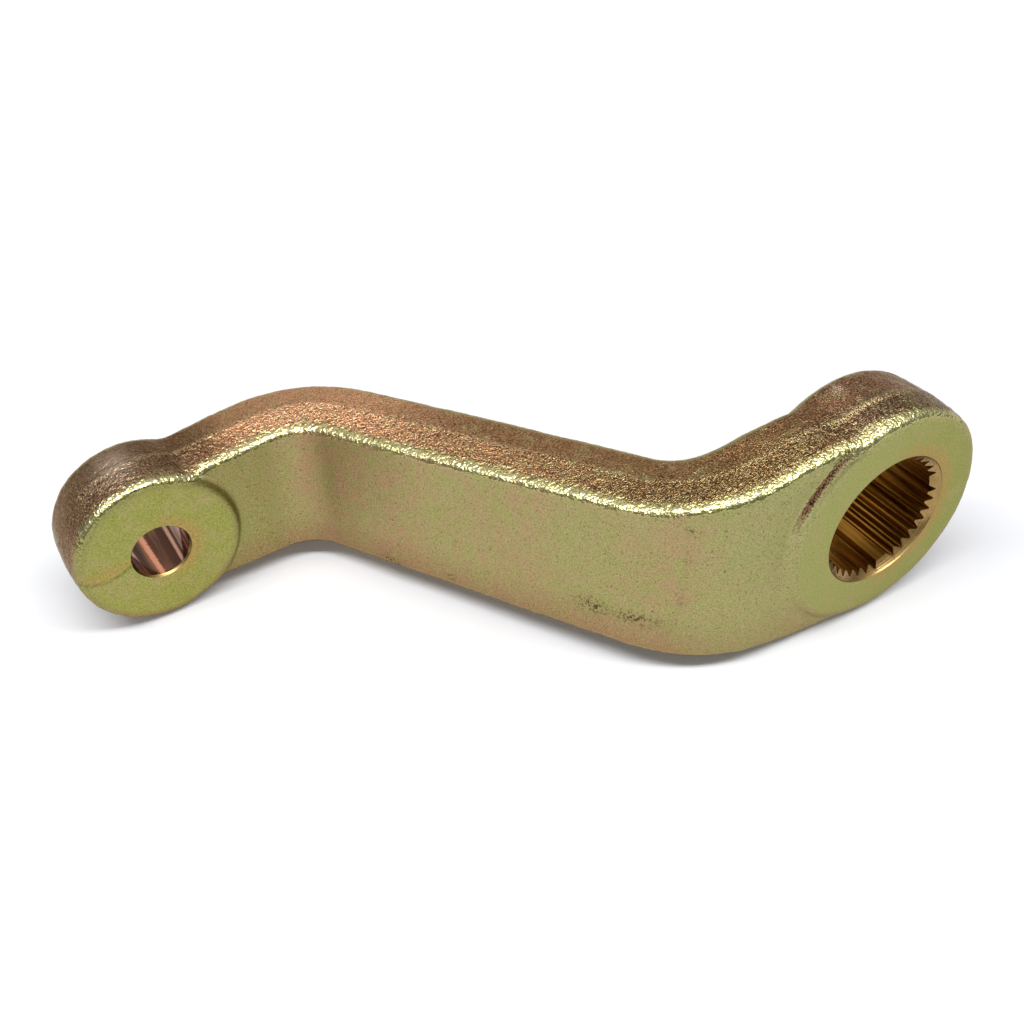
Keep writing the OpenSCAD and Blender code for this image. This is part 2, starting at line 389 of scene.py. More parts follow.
# Where each zone of the skin fades in, from none of it to all of it
bands = {
    # mm past the height of the bar's crest, negative below it
    "sideOver": (-3.2, -1.4), "edgeOver": (-2.1, -1.1), "roundingOver": (-2.9, -1.8), "faceOver": (-1.5, -4),
    "softOver": (-5, -3.5),
    # shares of the half thickness, towards the front
    "sideFront": (0.97, 0.72), "rounding": (0.62, 0.8), "faceFront": (0.2, 0.7), "softFront": (0.5, 0.7),
    "onFace": (0.78, 0.8), "pitFront": (0.7, 0.9), "shelfBack": (-0.15, 0.15), "shelfFront": (0.8, 0.55),
    # shares of the path and of the height
    "softAlong": (0.68, 0.85), "shelfAlong": (0.5, 0.8), "upper": (0.55, 0.8), "bossTop": (0.7, 0.9),
    # mm past a boss's radius, towards the arm, and up from the shaft's axis
    "inBoss": (1.5, 0.5), "barrel": (-3.6, -1.8), "discRim": (-1.5, -3.5), "armward": (0, 6),
    "bareWall": (15, 3),
    # mm from the nearer end of a boss, and from its front face
    "rimGrain": (0.5, 2.6), "brink": (3.4, 2.2), "brinkEdge": (0.5, 1.1), "brinkRounding": (0.1, 0.6),
    "discDepth": (0.8, 0.3),
    # mm from a bore's axis towards +X, from the start of the run, over its line and over its top
    "mouthSide": (-4, 6), "runStart": (0, 2), "dripStart": (0, 3), "dripLine": (-0.2, 0.4),
    "dripTop": (0.5, -0.5),
}


def smoothStep(low, high, values):
    t = np.clip((values - low) / (high - low), 0, 1)
    return t * t * (3 - 2 * t)


def band(name, values):
    return smoothStep(*bands[name], values)


def hill(values, middle, width):
    return np.exp(-((values - middle) / width) ** 2)


def pointsOf(obj):
    points = np.empty(len(obj.data.vertices) * 3, np.float32)
    obj.data.vertices.foreach_get("co", points)
    return points.reshape(-1, 3).astype(float) / mm


def nearestStep(points, parts=80):
    # in parts, because all distances at once would fill the memory
    return np.concatenate([
        np.argmin(((part[:, None] - walkedPlace) ** 2).sum(axis=2), axis=1)
        for part in np.array_split(points, parts)])


def zones(points):
    # where each point lies: along the path, in front of its middle, over it, and in which zones of the skin
    x, y, z = points.T
    nearest = nearestStep(points[:, :2])
    away = points[:, :2] - walkedPlace[nearest]
    tangent = walkedAhead[nearest]
    along = walked[nearest] + (away * tangent).sum(axis=1)
    forward = away[:, 0] * tangent[:, 1] - away[:, 1] * tangent[:, 0]
    over = z - np.interp(along, [0, pathLength], [studBoss["centre"].z, shaftBoss["centre"].z])
    half = np.interp(along, walked, [cornerHalf(s) + forging["crest"] for s in walked])
    front = forward / np.interp(along, walked, [thickness(s) / 2 for s in walked])
    pastCrest = np.abs(over) - half
    side = band("sideOver", pastCrest) * band("sideFront", np.abs(front))
    flash = hill(forward, 0, marks["flashWidth"]) * side * marks["flashOnBar"]
    rounding = band("rounding", np.abs(front))
    edge = band("edgeOver", pastCrest) * rounding
    rounding *= band("roundingOver", pastCrest)
    # the crown of the narrow sides is soft
    neck = hill(forward, 0, marks["crownWidth"]) * side
    disc, mouth, wall, pits, wearAndSheen = np.zeros((5, len(points)))
    for boss, towards in ((studBoss, 1), (shaftBoss, -1)):
        outX, outZ = x - boss["centre"].x, z - boss["centre"].z
        radius = np.hypot(outX, outZ)
        pastBoss = radius - boss["radius"]
        parting = boss["front"] + boss["parting"]
        inside = band("inBoss", pastBoss)
        rim = np.minimum(y - boss["front"], boss["back"] - y)
        barrel = band("barrel", pastBoss)
        armward = band("armward", towards * outX)
        face = band("faceFront", front) * band("faceOver", pastCrest) * armward
        # the wall over the arm's face is rough near the top of the shaft boss only, and fades below
        bare = face * (band("bareWall", z) if boss is shaftBoss else 1)
        grainFrom, grainTo = bands["rimGrain"]
        barrelSide = barrel * smoothStep(grainFrom, grainTo - marks["wallGrain"] * face, rim) * (1 - bare)
        side += (barrelSide - side) * inside
        brink = barrel * band("brink", rim) * (1 - face)
        edge += (brink * band("brinkEdge", rim) - edge) * inside
        rounding += (brink * band("brinkRounding", rim) - rounding) * inside
        onTop = band("bossTop", outZ / boss["radius"]) * boss["flash"]
        flash += hill(y, parting, marks["flashWidth"]) * barrelSide * inside * onTop
        disc += band("discRim", pastBoss) * band("discDepth", y - boss["front"])
        mouth += hill(radius, boss["mouth"], marks["mouthWidth"]) * band("mouthSide", outX)
        # where the boss runs into the arm: soft on the narrow sides and the back, crisp on the front
        soft = 1 - marks["neckCrisp"] * face
        neck += hill(pastBoss, marks["neckGap"], marks["neckWidth"]) * armward * soft
        neck += barrelSide * inside * np.maximum(boss["roundness"], hill(y, parting, marks["crownWidth"]))
        wall += barrelSide * inside * face
    # the front edge grows rounder towards the shaft boss
    share = along / pathLength
    softEdge = band("softAlong", share) * band("softFront", front) * band("softOver", pastCrest)
    neck += marks["softEdge"] * softEdge
    for place, height, reachAlong, reachOver, strength in marks["pits"]:
        pits += hill(along, place, reachAlong) * hill(over, height, reachOver) * strength
    # pale spots: a painted highlight on the stud boss's barrel, and wear on the shaft boss
    for placeX, placeY, reachX, reachY, strength in marks["wearAndSheen"]:
        wearAndSheen += hill(x, placeX, reachX) * hill(y, placeY, reachY) * strength * (over > 0)
    # the run of plating, and the tan drip between it and the hole's middle
    holeX, holeZ = x - studBoss["centre"].x, z - studBoss["centre"].z
    runLine = marks["runLowZ"] + marks["runCurve"] * (holeX - marks["runLowX"]) ** 2
    reach = band("onFace", front) * (holeX < marks["runTo"])
    run = hill(holeZ, runLine, marks["runWidth"]) * reach * band("runStart", holeX - marks["runFrom"])
    drip = band("dripLine", holeZ - runLine) * band("dripTop", holeZ - marks["dripTop"]) * reach
    drip *= band("dripStart", holeX - marks["runFrom"]) * marks["dripShare"]
    turn = np.degrees(np.arctan2(holeZ, holeX))
    boreHighlight = sum(hill(turn, angle, width) * strength for angle, width, strength in marks["boreHighlights"])
    return {
        "along": share, "front": front, "over": over / half, "side": side, "disc": disc, "mouth": mouth,
        "neck": np.clip(neck, 0, 1), "flash": np.clip(flash, 0, 1), "wall": wall, "wearAndSheen": wearAndSheen,
        # edge: the upper rounded edges only, which take a painted highlight in the material
        "edge": edge * (1 - side) * band("upper", over / half), "run": run, "drip": drip, "boreHighlight": boreHighlight,
        "grain": np.clip(side + marks["roundingGrain"] * rounding * (1 - side), 0, 1),
        "pits": np.clip(pits, 0, 1) * band("pitFront", front),
        # shelf: the band between crest and front edge that takes painted shade in the material
        "shelf": band("shelfBack", front) * band("shelfFront", front) * band("shelfAlong", share),
    }


def weigh(obj, name, shares, least=0.001):
    group = obj.vertex_groups.new(name=name)
    for i, share in enumerate(shares):
        if share > least:
            group.add([i], float(share), "REPLACE")


def roughen(obj, group, grain, height, depth=2):
    # cloud texture, both ways from the surface
    texture = bpy.data.textures.new(group, "CLOUDS")
    texture.noise_scale = grain * mm
    texture.noise_depth = depth
    use(obj, "DISPLACE", texture=texture, texture_coords="LOCAL", strength=height * mm, mid_level=0.5,
        vertex_group=group)


# Materials
def linear(code):
    parts = [int(code[i:i + 2], 16) / 255 for i in (1, 3, 5)]
    return [c / 12.92 if c <= 0.04045 else ((c + 0.055) / 1.055) ** 2.4 for c in parts] + [1]


def addNode(tree, kind, settings):
    # a setting is a property, a value for a socket, or another node's output to link to it
    node = tree.nodes.new(kind)
    for key, value in settings.items():
        if isinstance(value, bpy.types.NodeSocket):
            tree.links.new(value, node.inputs[key])
        elif isinstance(key, int) or key in node.inputs:
            node.inputs[key].default_value = value
        else:
            setattr(node, key, value)
    return node


def setStops(node, stops):
    # a stop is a place on the ramp, with a colour or a plain share
    elements = node.color_ramp.elements
    while len(elements) < len(stops):
        elements.new(1)
    for element, (place, code) in zip(elements, stops):
        element.position = place
        element.color = linear(code) if isinstance(code, str) else (code, code, code, 1)


def newMaterial(name):
    material = bpy.data.materials.new(name)
    material.use_nodes = True
    tree = material.node_tree
    tree.nodes.clear()
    place = addNode(tree, "ShaderNodeTexCoord", {}).outputs["Object"]
    return material, tree, place


def addMetal(tree, settings):
    shader = addNode(tree, "ShaderNodeBsdfPrincipled", {"Metallic": 1, **settings})
    addNode(tree, "ShaderNodeOutputMaterial", {"Surface": shader.outputs["BSDF"]})


def layOver(tree, under, sources, layers):
    # lays each colour over the last: its share grows while what drives it goes from start to end
    for code, driver, start, end, most, *extra in layers:
        share = addNode(tree, "ShaderNodeMapRange", {
            "interpolation_type": "SMOOTHSTEP" if "SMOOTHSTEP" in extra else "LINEAR",
            "Value": sources[driver], "From Min": start, "From Max": end, "To Max": most}).outputs["Result"]
        for limit in [name for name in extra if name in sources]:
            share = addNode(tree, "ShaderNodeMath", {
                "operation": "MULTIPLY", 0: share, 1: sources[limit]}).outputs[0]
        blend = [name for name in extra if name in ("SCREEN", "MULTIPLY")] or ["MIX"]
        under = addNode(tree, "ShaderNodeMix", {
            "data_type": "RGBA", "blend_type": blend[0], 0: share, 6: under, 7: linear(code)}).outputs[2]
    return under


# Forged steel, yellow zinc chromate: satin olive on the broad faces with tan and green bloom,
# coarse gold, copper and brown on the narrow sides where the flash was trimmed and the blast left its grain,
# with painted highlights, glints and shade laid over both.
# A pattern is its grain in mm and its detail. A share: what drives it, start and end, its values there.
# A layer: colour, what drives it, start and end, its most, and then what limits it or how it blends.
zincForging = {
    "zones": ("along", "front", "over", "side", "edge", "grain", "disc", "mouth", "flash", "wall",
              "pits", "run", "drip", "wearAndSheen", "shelf"),
    "patterns": {
        "patch": (26, 3), "bloom": (4, 3), "grit": (0.34, 2), "blast": (0.42, 2), "crinkle": (1.0, 1),
        "spots": (0.8, 2), "pores": (0.5, 1),
    },
    "patternRoughness": 0.6,
    # how tan the face is along the path, most at the bends
    "bends": [(0.2, 0), (0.25, 0.4), (0.275, 0.38), (0.31, 0.42), (0.38, 0.32), (0.45, 0.03), (0.72, 0),
              (0.745, 0.15), (0.775, 0)],
    "shares": {
        "low": ("over", -0.45, -1.0, 0, 0.22, "SMOOTHSTEP"), "pink": ("bloom", 0.48, 0.3, 0, 0.1),
        "onDisc": ("disc", 0, 1, 0, 0.8), "sound": ("disc", 0, 1, 1, 0.6),
        "pastStud": ("along", 0.07, 0.15, 0.25, 1), "pastBend": ("along", 0.33, 0.5, 0, 1),
        # painted light: gold grows towards the front edge of the narrow sides, which faces the softbox
        "paintedFrontLight": ("front", 0.5, 0.85, 0, 0.5, "SMOOTHSTEP"),
        # the painted glints and shade of the grains are weaker on the back half, which sees less light
        "lively": ("front", -0.5, 0.3, 0.8, 1, "SMOOTHSTEP"), "later": ("along", 0.2, 0.34, 0.75, 1.05),
        "pitted": ("spots", 0.525, 0.55, 0, 1), "roughness": ("grain", 0, 0.45, 0.38, 0.18),
        "faceHeight": ("bend", 0, 0.35, 0.2, 0.6), "crinkleHeight": ("front", -0.7, 0.4, 0.3, 0.9),
        # the front edge is smoother, with coarse crinkles alone
        "fine": ("front", 0.55, 0.8, 1, 0.25), "coarse": ("front", 0.5, 0.8, 1, 1.7),
    },
    # sums and products of these, in order: name, operation and what goes in
    "sums": [
        ("lowTan", "ADD", "patch", "low"), ("bendTan", "MULTIPLY_ADD", "bend", 0.5, "lowTan"),
        ("tanning", "ADD", "bendTan", "pink"),
        ("tarnished", "ADD", "mouth", "drip"), ("tarnish", "MULTIPLY", "tarnished", "bloom"),
        ("gildingAndFrontLight", "ADD", "paintedFrontLight", "bloom"),
        ("swing", "SUBTRACT", "blast", 0.5), ("liveliness", "MULTIPLY", "lively", "later"),
        ("grains", "MULTIPLY_ADD", "swing", "liveliness", 0.5),
        # crest: the grains plus the trimmed flash, which drive the painted glints and a painted highlight
        # along the flash
        ("crest", "MULTIPLY_ADD", "flash", 0.3, "grains"),
        ("pitting", "MULTIPLY", "pits", "pitted"), ("dirtLine", "MULTIPLY_ADD", "run", 0.5, "pitting"),
        ("faceRelief", "MULTIPLY", "grit", "faceHeight"), ("fineRelief", "MULTIPLY", "grains", "fine"),
        ("crinkles", "MULTIPLY", "crinkleHeight", "coarse"),
        ("sideRelief", "MULTIPLY_ADD", "crinkle", "crinkles", "fineRelief"),
    ],
    # broad faces: tan at the bends, along the lower edge and in patches, green bloom; painted shade on the
    # stud run and along the lower edge
    "olive": "#a69d68",
    "faceLayers": {
        "tan": ("#b28f6c", "tanning", 0.42, 0.8, 0.9), "green": ("#9aa25a", "bloom", 0.45, 0.7, 0.6),
        # painted shade: the face of the stud run darker olive
        "studRun": ("#838442", "along", 0.24, 0.14, 0.55),
        # painted shade: the face darker towards its lower edge
        "paintedLowShade": ("#8e6c4c", "over", -0.3, -1.0, 0.6, "SMOOTHSTEP"),
        "shaftRun": ("#9ca268", "along", 0.74, 0.82, 0.4),
    },
    # greener discs with pale mottle; the shaft disc differs from its near side to its far side
    "studDisc": "#999d49",
    "discLayers": {
        "nearSide": ("#9ca25c", "along", 0.6, 0.7, 1), "farSide": ("#8c9648", "along", 0.95, 1.1, 0.8),
        "mottle": ("#b49c74", "bloom", 0.46, 0.68, 0.52),
    },
    # on faces and discs: tarnish round the mouths, dark and light specks, pores
    "speckLayers": {
        "mouthTan": ("#b8874e", "tarnish", 0, 1, 1), "darkSpeck": ("#6a6136", "grit", 0.52, 0.72, 0.6),
        "lightSpeck": ("#cac18a", "grit", 0.46, 0.28, 0.45),
        "pore": ("#575028", "pores", 0.63, 0.74, 0.75, "sound"),
    },
    # narrow sides: copper and brown shift along the arm
    "sides": [(0, "#745442"), (0.09, "#825c42"), (0.135, "#cc966e"), (0.2, "#e4ac84"), (0.31, "#f6b68a"),
              (0.45, "#b48460"), (0.6, "#a87c56"), (0.72, "#96724c"), (0.82, "#8c6c42"), (0.92, "#806044"),
              (1, "#785850")],
    # painted shade: brown behind, and a dark shelf before the shaft boss; painted light: gold towards the
    # front edge, which also shows in bloom patches; dull underneath; then painted glints on the grains, a
    # painted highlight along the trimmed flash, and painted shade in the hollows between the grains
    "sideLayers": {
        "paintedBackShade": ("#a06c4a", "front", 0.15, -0.4, 0.45, "SMOOTHSTEP", "pastBend"),
        "gold": ("#c4ba80", "gildingAndFrontLight", 0.5, 0.9, 0.9, "pastStud"),
        "underneath": ("#a08a60", "over", 0.4, -0.4, 0.6), "paintedShelfShade": ("#5c482a", "shelf", 0, 1, 0.5),
        "paintedGlint": ("#9c8c62", "crest", 0.52, 0.64, 0.75, "SCREEN"),
        "paintedHollowShade": ("#8e857e", "grains", 0.5, 0.38, 0.9, "MULTIPLY"),
    },
    # rust on the wall beside the shaft disc, darker between the grains
    "rustDark": "#33221a", "rustLayers": {"rust": ("#8e6244", "grains", 0.44, 0.56, 1)},
    # pale spots, a painted highlight on the stud boss and wear on the shaft boss, brighter on the grains and
    # less between them
    "wearAndSheenLayers": {"bareMetalAndHighlight": ("#dcc2aa", "wearAndSheen", 0, 1, 1, "rubbing")}, "rubbing": (0.38, 0.56, 0.4, 0.8),
    # painted highlight: pale colour along the upper rounded edges, where the softbox's highlight falls; dirt
    # sits round the pits, in them and on the run
    "markLayers": {
        "paintedEdgeHighlight": ("#dcdca8", "edge", 0, 1, 0.7), "dirt": ("#7a6b42", "pits", 0, 1, 0.22),
        "darkDirt": ("#3e3016", "dirtLine", 0, 1, 1),
    },
    "grainHeight": 0.34, "grazing": "#d8ccb8", "film": 0.14, "filmRoughness": 0.2,
}


def makeZincForging(look):
    material, tree, place = newMaterial("yellowZincForging")
    sources = {}
    for name in look["zones"]:
        sources[name] = addNode(tree, "ShaderNodeAttribute", {"attribute_name": name}).outputs["Fac"]
    for name, (size, detail) in look["patterns"].items():
        sources[name] = addNode(tree, "ShaderNodeTexNoise", {
            "Vector": place, "Scale": 1 / (size * mm), "Detail": detail,
            "Roughness": look["patternRoughness"]}).outputs["Fac"]
    for name, stops in (("bend", look["bends"]), ("brown", look["sides"])):
        ramp = addNode(tree, "ShaderNodeValToRGB", {"Fac": sources["along"]})
        setStops(ramp, stops)
        sources[name] = ramp.outputs["Color"]
    for name, (driver, start, end, low, high, *kind) in look["shares"].items():
        sources[name] = addNode(tree, "ShaderNodeMapRange", {
            "interpolation_type": kind[0] if kind else "LINEAR", "Value": sources[driver],
            "From Min": start, "From Max": end, "To Min": low, "To Max": high}).outputs["Result"]
    for name, operation, *parts in look["sums"]:
        values = {i: sources.get(part, part) for i, part in enumerate(parts)}
        sources[name] = addNode(tree, "ShaderNodeMath", {"operation": operation, **values}).outputs[0]
    start, end, low, high = look["rubbing"]
    sources["rubbing"] = addNode(tree, "ShaderNodeMapRange", {
        "Value": sources["grains"], "From Min": start, "From Max": end,
        "To Min": low, "To Max": high}).outputs["Result"]
    plain = layOver(tree, linear(look["olive"]), sources, look["faceLayers"].values())
    disc = layOver(tree, linear(look["studDisc"]), sources, look["discLayers"].values())
    both = addNode(tree, "ShaderNodeMix", {"data_type": "RGBA", 0: sources["onDisc"], 6: plain, 7: disc})
    face = layOver(tree, both.outputs[2], sources, look["speckLayers"].values())
    side = layOver(tree, sources["brown"], sources, look["sideLayers"].values())
    rust = layOver(tree, linear(look["rustDark"]), sources, look["rustLayers"].values())
    rusty = addNode(tree, "ShaderNodeMix", {"data_type": "RGBA", 0: sources["wall"], 6: side, 7: rust})
    rubbed = layOver(tree, rusty.outputs[2], sources, look["wearAndSheenLayers"].values())
    skin = addNode(tree, "ShaderNodeMix", {"data_type": "RGBA", 0: sources["side"], 6: face, 7: rubbed})
    relief = addNode(tree, "ShaderNodeMix", {
        0: sources["grain"], 2: sources["faceRelief"], 3: sources["sideRelief"]})
    bump = addNode(tree, "ShaderNodeBump", {
        "Strength": 1, "Distance": look["grainHeight"] * mm, "Height": relief.outputs[0]}).outputs["Normal"]
    # the clear chromate film gives white glints over the metal's own colour
    addMetal(tree, {
        "Base Color": layOver(tree, skin.outputs[2], sources, look["markLayers"].values()),
        "Roughness": sources["roughness"], "Specular Tint": linear(look["grazing"]), "Normal": bump,
        "Coat Weight": look["film"], "Coat Roughness": look["filmRoughness"], "Coat Normal": bump,
    })
    return material


# Turned surfaces: the same plating over fine feed rings, olive on the faced boss ends at the back
# and tan in the mouths of the bores. The rings are drawn wider apart than a lathe leaves them,
# so that they show.
zincTurned = {
    "yellowZincFaced": {"colour": "#96984c", "patch": "#a88e60", "patchSize": 9, "roughness": 0.34},
    "yellowZincMouth": {"colour": "#ac8c5a", "patch": "#8e7446", "patchSize": 6, "roughness": 0.3},
    "patchShare": (0.42, 0.7, 0.8), "speck": "#6f6a3a", "speckSize": 0.4, "speckShare": (0.52, 0.7, 0.7),
    "detail": 3, "feed": 0.55, "ringHeight": 0.008,
}


def makeZincTurned(name):
    look = zincTurned[name]
    material, tree, place = newMaterial(name)
    sources = {}
    for pattern, size in (("patch", look["patchSize"]), ("speck", zincTurned["speckSize"])):
        sources[pattern] = addNode(tree, "ShaderNodeTexNoise", {
            "Vector": place, "Scale": 1 / (size * mm), "Detail": zincTurned["detail"]}).outputs["Fac"]
    colour = layOver(tree, linear(look["colour"]), sources, [
        (look["patch"], "patch", *zincTurned["patchShare"]),
        (zincTurned["speck"], "speck", *zincTurned["speckShare"])])
    # feed rings about the nearer of the two bores
    fromCentres = {}
    for i, boss in enumerate((studBoss, shaftBoss)):
        offset = addNode(tree, "ShaderNodeVectorMath", {
            "operation": "SUBTRACT", 0: place, 1: boss["centre"] * mm})
        flat = addNode(tree, "ShaderNodeVectorMath", {
            "operation": "MULTIPLY", 0: offset.outputs[0], 1: (1, 0, 1)})
        length = addNode(tree, "ShaderNodeVectorMath", {"operation": "LENGTH", 0: flat.outputs[0]})
        fromCentres[i] = length.outputs["Value"]
    radius = addNode(tree, "ShaderNodeMath", {"operation": "MINIMUM", **fromCentres})
    phase = addNode(tree, "ShaderNodeMath", {
        "operation": "MULTIPLY", 0: radius.outputs[0], 1: 2 * math.pi / (zincTurned["feed"] * mm)})
    ring = addNode(tree, "ShaderNodeMath", {"operation": "SINE", 0: phase.outputs[0]})
    height = addNode(tree, "ShaderNodeMath", {"operation": "ADD", 0: ring.outputs[0], 1: sources["speck"]})
    bump = addNode(tree, "ShaderNodeBump", {
        "Strength": 1, "Distance": zincTurned["ringHeight"] * mm, "Height": height.outputs[0]})
    addMetal(tree, {"Base Color": colour, "Roughness": look["roughness"], "Normal": bump.outputs["Normal"]})
    return material


# Cut walls of the bores, streaked along them. Broached splines: plating over cut metal, amber to brown.
# Reamed taper: bright and smooth, copper to violet-brown, with painted highlight streaks.
boreWalls = {
    "broachedBore": {
        "dark": "#52300e", "light": "#aa7a30", "streakSize": (1.1, 30, 1.1), "share": (0.35, 0.65, 1),
        "roughness": 0.32,
    },
    "reamedBore": {
        "dark": "#644438", "light": "#a8785e", "streakSize": (2.6, 60, 2.6), "share": (0.4, 0.62, 1),
        "roughness": 0.12,
        "highlightStops": [(0.3, "#b0673f"), (0.5, "#ffb08e"), (0.75, "#ffbfa4"), (1, "#fff1e8")],
        "highlightShare": (0.2, 0.4), "chatterSize": 0.5, "chatter": 0.4,
    },
    "detail": 3,
}


def makeBoreWall(name):
    look = boreWalls[name]
    material, tree, place = newMaterial(name)
    stretch = addNode(tree, "ShaderNodeMapping", {
        "Vector": place, "Scale": [1 / (size * mm) for size in look["streakSize"]]})
    shade = addNode(tree, "ShaderNodeTexNoise", {
        "Vector": stretch.outputs["Vector"], "Scale": 1, "Detail": boreWalls["detail"]})
    colour = layOver(tree, linear(look["dark"]), {"shade": shade.outputs["Fac"]}, [
        (look["light"], "shade", *look["share"])])
    if "highlightStops" in look:
        # painted highlight streaks, with edges made ragged by the chatter noise
        boreHighlight = addNode(tree, "ShaderNodeAttribute", {"attribute_name": "boreHighlight"}).outputs["Fac"]
        chatter = addNode(tree, "ShaderNodeTexNoise", {
            "Vector": place, "Scale": 1 / (look["chatterSize"] * mm)})
        ragged = addNode(tree, "ShaderNodeMath", {
            "operation": "MULTIPLY_ADD", 0: chatter.outputs["Fac"],
            1: look["chatter"], 2: -look["chatter"] / 2})
        edge = addNode(tree, "ShaderNodeMath", {
            "operation": "ADD", 0: boreHighlight, 1: ragged.outputs[0]}).outputs[0]
        bright = addNode(tree, "ShaderNodeValToRGB", {"Fac": edge})
        setStops(bright, look["highlightStops"])
        start, end = look["highlightShare"]
        share = addNode(tree, "ShaderNodeMapRange", {"Value": edge, "From Min": start, "From Max": end})
        colour = addNode(tree, "ShaderNodeMix", {
            "data_type": "RGBA", 0: share.outputs["Result"],
            6: colour, 7: bright.outputs["Color"]}).outputs[2]
    addMetal(tree, {"Base Color": colour, "Roughness": look["roughness"]})
    return material


forgedFinish = makeZincForging(zincForging)
facedFinish = makeZincTurned("yellowZincFaced")
mouthFinish = makeZincTurned("yellowZincMouth")
broachedFinish = makeBoreWall("broachedBore")
reamedFinish = makeBoreWall("reamedBore")
print("materials made")

path = makePath()
bar = makeBar(path)
blanks = [bar, makeBoss("studBossBlank", studBoss), makeBoss("shaftBossBlank", shaftBoss)]
deselect()
for blank in blanks:
    blank.select_set(True)
bpy.context.view_layer.objects.active = bar
bpy.ops.object.join()
arm = bar
arm.name = "forged_pitman_arm"
use(arm, "REMESH", mode="VOXEL", voxel_size=forging["voxel"] * mm)
use(arm, "SMOOTH", factor=forging["smoothing"], iterations=forging["softening"])
print("blank forged,", len(arm.data.polygons), "faces")

skinZones = zones(pointsOf(arm))
weigh(arm, "necks", skinZones["neck"])
weigh(arm, "waves", 1 - skinZones["disc"])
weigh(arm, "grain", skinZones["grain"] * (1 - skinZones["disc"]))
for name in ("flash", "pits", "run"):
    weigh(arm, name, skinZones[name])
use(arm, "SMOOTH", factor=forging["smoothing"], iterations=forging["neckSoftening"], vertex_group="necks")
roughen(arm, "waves", marks["waveSize"], marks["waveHeight"])
roughen(arm, "grain", marks["rippleSize"], marks["rippleHeight"])
roughen(arm, "grain", marks["grainSize"], marks["grainHeight"])
roughen(arm, "pits", marks["pitSize"], marks["pitDepth"])
use(arm, "DISPLACE", strength=marks["flashHeight"] * mm, mid_level=0, vertex_group="flash")
use(arm, "DISPLACE", strength=-marks["runDepth"] * mm, mid_level=0, vertex_group="run")
arm.vertex_groups.clear()
arm.data.materials.clear()
arm.data.materials.append(forgedFinish)
print("skin roughened")

cutters = {
    facedFinish: [makeFacing("studFacing", studBoss), makeFacing("shaftFacing", shaftBoss)],
    mouthFinish: [
        makeLip("frontLip", True), makeLip("backLip", False),
        makeMouth("frontMouth", True), makeMouth("backMouth", False)],
    reamedFinish: [makeReamer()],
    broachedFinish: [makeBroach()],
}
cutterRack = bpy.data.collections.new("cutterRack")
bpy.context.scene.collection.children.link(cutterRack)
for finish, group in cutters.items():
    for cutter in group:
        cutter.data.materials.append(finish)
        cutterRack.objects.link(cutter)
use(arm, "BOOLEAN", operation="DIFFERENCE", operand_type="COLLECTION", collection=cutterRack,
    solver="MANIFOLD", material_mode="TRANSFER")
for leftover in [*cutterRack.objects, path]:
    bpy.data.objects.remove(leftover)
bpy.data.collections.remove(cutterRack)
for name, values in zones(pointsOf(arm)).items():
    attribute = arm.data.attributes.new(name, "FLOAT", "POINT")
    attribute.data.foreach_set("value", values.astype(np.float32))
deselect()
arm.select_set(True)
bpy.context.view_layer.objects.active = arm
# machined edges stay crisp wherever one finish meets another
bpy.ops.object.mode_set(mode="EDIT")
pick(lambda e: len({face.material_index for face in e.link_faces}) > 1, "EDGE")
bpy.ops.mesh.mark_sharp()
bpy.ops.object.mode_set(mode="OBJECT")
bpy.ops.object.shade_smooth_by_angle(angle=math.radians(forging["creaseAngle"]))
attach(arm, "root")
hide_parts("pitman_arm")
print("machined,", len(arm.data.polygons), "faces,", [m.name for m in arm.data.materials])

# Studio, in metres: pale floor, a wide softbox overhead,
# and dark cloth round the table that only reflections see
studio = {
    "floor": "#ecedf1", "floorSize": 8, "lift": (0.06, 1), "liftReach": (0.15, 0.9), "sky": 0.22,
    "softboxSize": (4.0, 0.5), "softboxPower": 80, "softboxAway": 2.4,
    "softboxAzimuth": -31, "softboxElevation": 76,
    "clothRadius": 1.5, "clothHeight": 1.8, "clothSides": 64,
    "clothFront": "#808078", "clothBack": "#a8a8a2", "clothTurn": (-0.3, 0.6),
    "clothTop": "#f4f4f0", "clothFade": (-0.8, 0.9),
}


def outward(azimuth, elevation):
    # from the part towards a place round it: azimuth 0 is in front, on -Y
    flat = math.cos(math.radians(elevation))
    turn = math.radians(azimuth)
    return Vector((math.sin(turn) * flat, -math.cos(turn) * flat, math.sin(math.radians(elevation))))


def seenWhite(tree):
    # camera, mirror and glass rays see the plain white backdrop
    rays = addNode(tree, "ShaderNodeLightPath", {})
    some = addNode(tree, "ShaderNodeMath", {
        "operation": "MAXIMUM", 0: rays.outputs["Is Camera Ray"], 1: rays.outputs["Is Glossy Ray"]})
    return addNode(tree, "ShaderNodeMath", {
        "operation": "MAXIMUM", 0: some.outputs[0], 1: rays.outputs["Is Transmission Ray"]}).outputs[0]


